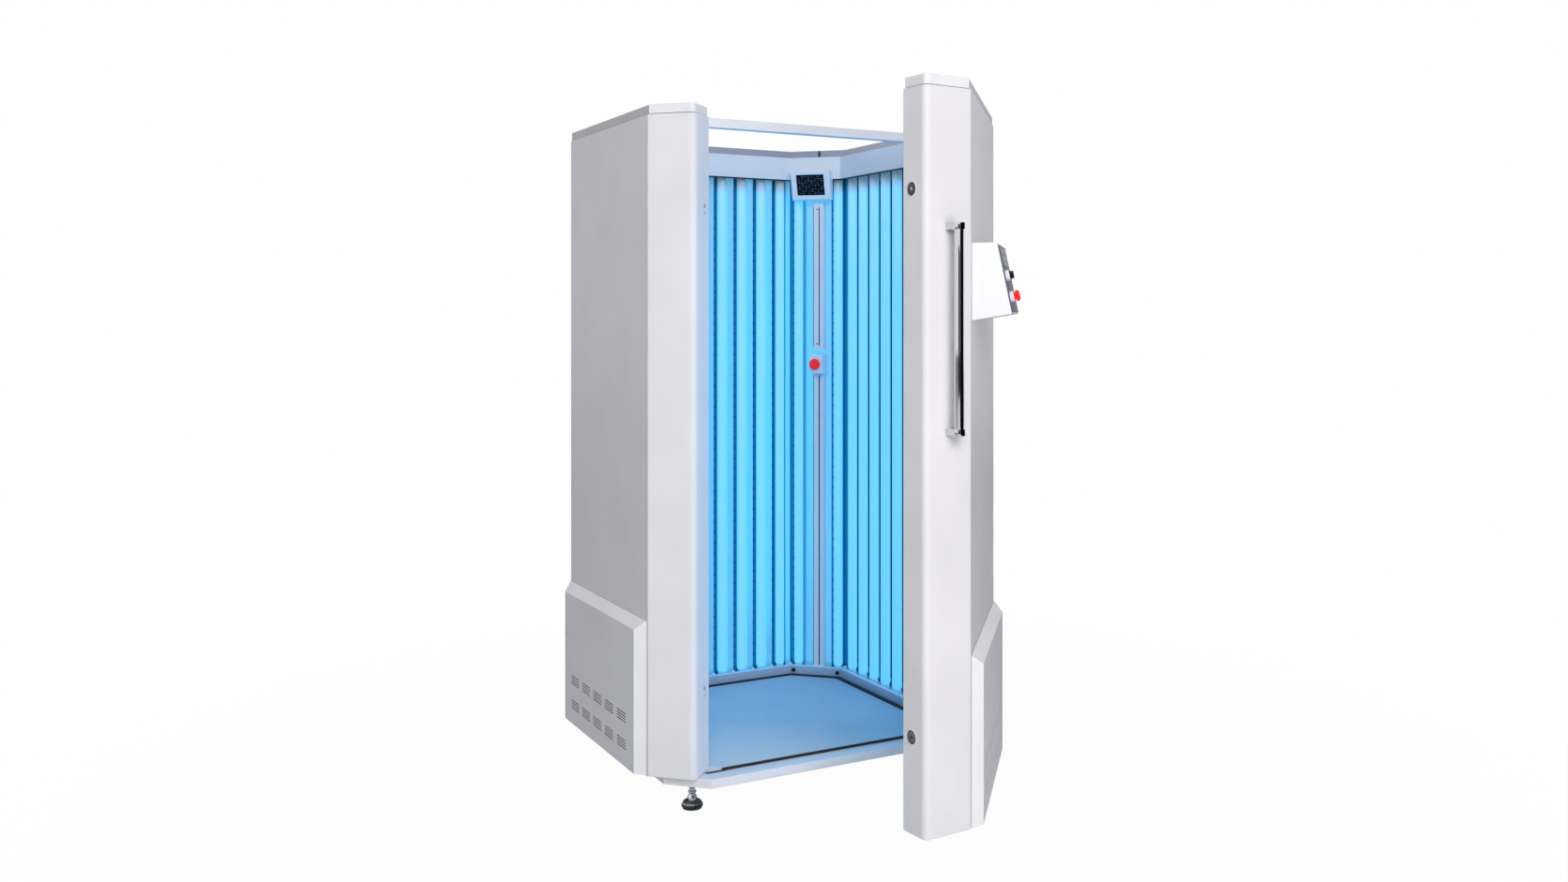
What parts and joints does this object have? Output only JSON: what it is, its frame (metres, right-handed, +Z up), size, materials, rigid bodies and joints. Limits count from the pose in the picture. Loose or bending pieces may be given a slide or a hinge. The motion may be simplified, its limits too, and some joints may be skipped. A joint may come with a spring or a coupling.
{
  "type": "phototherapy cabin",
  "caption": "Eight-sided walk-in light treatment cabin with tube lamps on every inner wall, vented outer panels, an open top, levelling feet and a hinged lamp door with controls.",
  "frame": {"origin": "on the ground under the middle of the bounding box, with the door open as stored", "axes": "+Z up, +Y from the front cut corner to the rear one, +X towards the hinge side"},
  "size_m": [1.5844, 1.559, 2.0454],
  "materials": {
    "white_paint": "satin powder coat",
    "floor_paint": "textured paint",
    "lamp_glass": "coated tube glass",
    "bright_aluminium": "bright rolled",
    "zinc_steel": "zinc plated",
    "chrome": "polished",
    "black_plastic": "moulded",
    "white_plastic": "moulded",
    "grey_plastic": "moulded",
    "dark_glass": "black cover glass",
    "red_plastic": "moulded"
  },
  "bodies": {
    "cabin": {"base_frame": "white_paint", "front_left_post": "white_paint", "front_left_panel": "white_paint", "left_corner_panel": "white_paint", "rear_left_panel": "white_paint", "rear_corner_panel": "white_paint", "rear_right_panel": "white_paint", "right_hinge_post": "white_paint", "top_cap": "white_paint", "front_left_vent_cover": "white_paint", "rear_left_vent_cover": "white_paint", "rear_right_vent_cover": "white_paint", "valance": "white_paint", "front_top_rail": "white_paint", "upper_cable_duct": "white_paint", "lower_cable_duct": "white_paint", "floor_panel": "floor_paint", "front_left_lamps": "lamp_glass", "front_left_reflector": "bright_aluminium", "left_corner_lamps": "lamp_glass", "left_corner_reflector": "bright_aluminium", "rear_left_lamps": "lamp_glass", "rear_left_reflector": "bright_aluminium", "rear_corner_lamps": "lamp_glass", "rear_corner_reflector": "bright_aluminium", "rear_right_lamps": "lamp_glass", "rear_right_reflector": "bright_aluminium", "front_left_ballast_tray": "zinc_steel", "rear_left_ballast_tray": "zinc_steel", "rear_right_ballast_tray": "zinc_steel", "upper_hinge_cabin_leaf": "zinc_steel", "lower_hinge_cabin_leaf": "zinc_steel", "stop_box": "white_plastic", "display_housing": "white_plastic", "display_screen": "dark_glass"},
    "door": {"door_panel": "white_paint", "door_vent_cover": "white_paint", "door_ballast_tray": "zinc_steel", "door_reflector": "bright_aluminium", "door_lamps": "lamp_glass", "door_front_post": "white_paint", "door_hinge_post": "white_paint", "door_cap": "white_paint", "door_valance": "white_paint", "door_handle": "chrome", "upper_catch": "zinc_steel", "lower_catch": "zinc_steel", "control_box": "white_paint", "control_panel": "grey_plastic", "upper_hinge_door_leaf": "zinc_steel", "lower_hinge_door_leaf": "zinc_steel"},
    "key_switch": {"key_knob": "black_plastic"},
    "outer_stop": {"outer_stop_button": "red_plastic"},
    "inner_stop": {"inner_stop_button": "red_plastic"},
    "front_foot": {"front_foot": "black_plastic"},
    "left_foot": {"left_foot": "black_plastic"},
    "rear_foot": {"rear_foot": "black_plastic"},
    "right_foot": {"right_foot": "black_plastic"}
  },
  "joints": [
    {"name": "door_hinge", "type": "hinge", "parent": "cabin", "child": "door", "pos_m": [0.51383, 0.13253, 0], "axis": [0, 0, 1], "range_deg": [-49.75, 60]},
    {"name": "key_switch_turn", "type": "hinge", "parent": "door", "child": "key_switch", "pos_m": [0.76454, -0.57698, 1.53918], "axis": [0.9762, 0.0811, 0.2012], "range_deg": [0, 90]},
    {"name": "outer_stop_press", "type": "slide", "parent": "door", "child": "outer_stop", "axis": [-0.9762, -0.0811, -0.2012], "range_m": [0, 0.004], "stiffness_N_per_m": 800},
    {"name": "inner_stop_press", "type": "slide", "parent": "cabin", "child": "inner_stop", "axis": [0, 1, 0], "range_m": [0, 0.004], "stiffness_N_per_m": 800},
    {"name": "front_foot_turn", "type": "hinge", "parent": "cabin", "child": "front_foot", "pos_m": [-0.18817, -0.43647, 0], "axis": [0, 0, 1], "continuous": true},
    {"name": "left_foot_turn", "type": "hinge", "parent": "cabin", "child": "left_foot", "pos_m": [-0.64217, 0.13253, 0], "axis": [0, 0, 1], "continuous": true},
    {"name": "rear_foot_turn", "type": "hinge", "parent": "cabin", "child": "rear_foot", "pos_m": [-0.14517, 0.62953, 0], "axis": [0, 0, 1], "continuous": true},
    {"name": "right_foot_turn", "type": "hinge", "parent": "cabin", "child": "right_foot", "pos_m": [0.35183, 0.19253, 0], "axis": [0, 0, 1], "continuous": true}
  ]
}
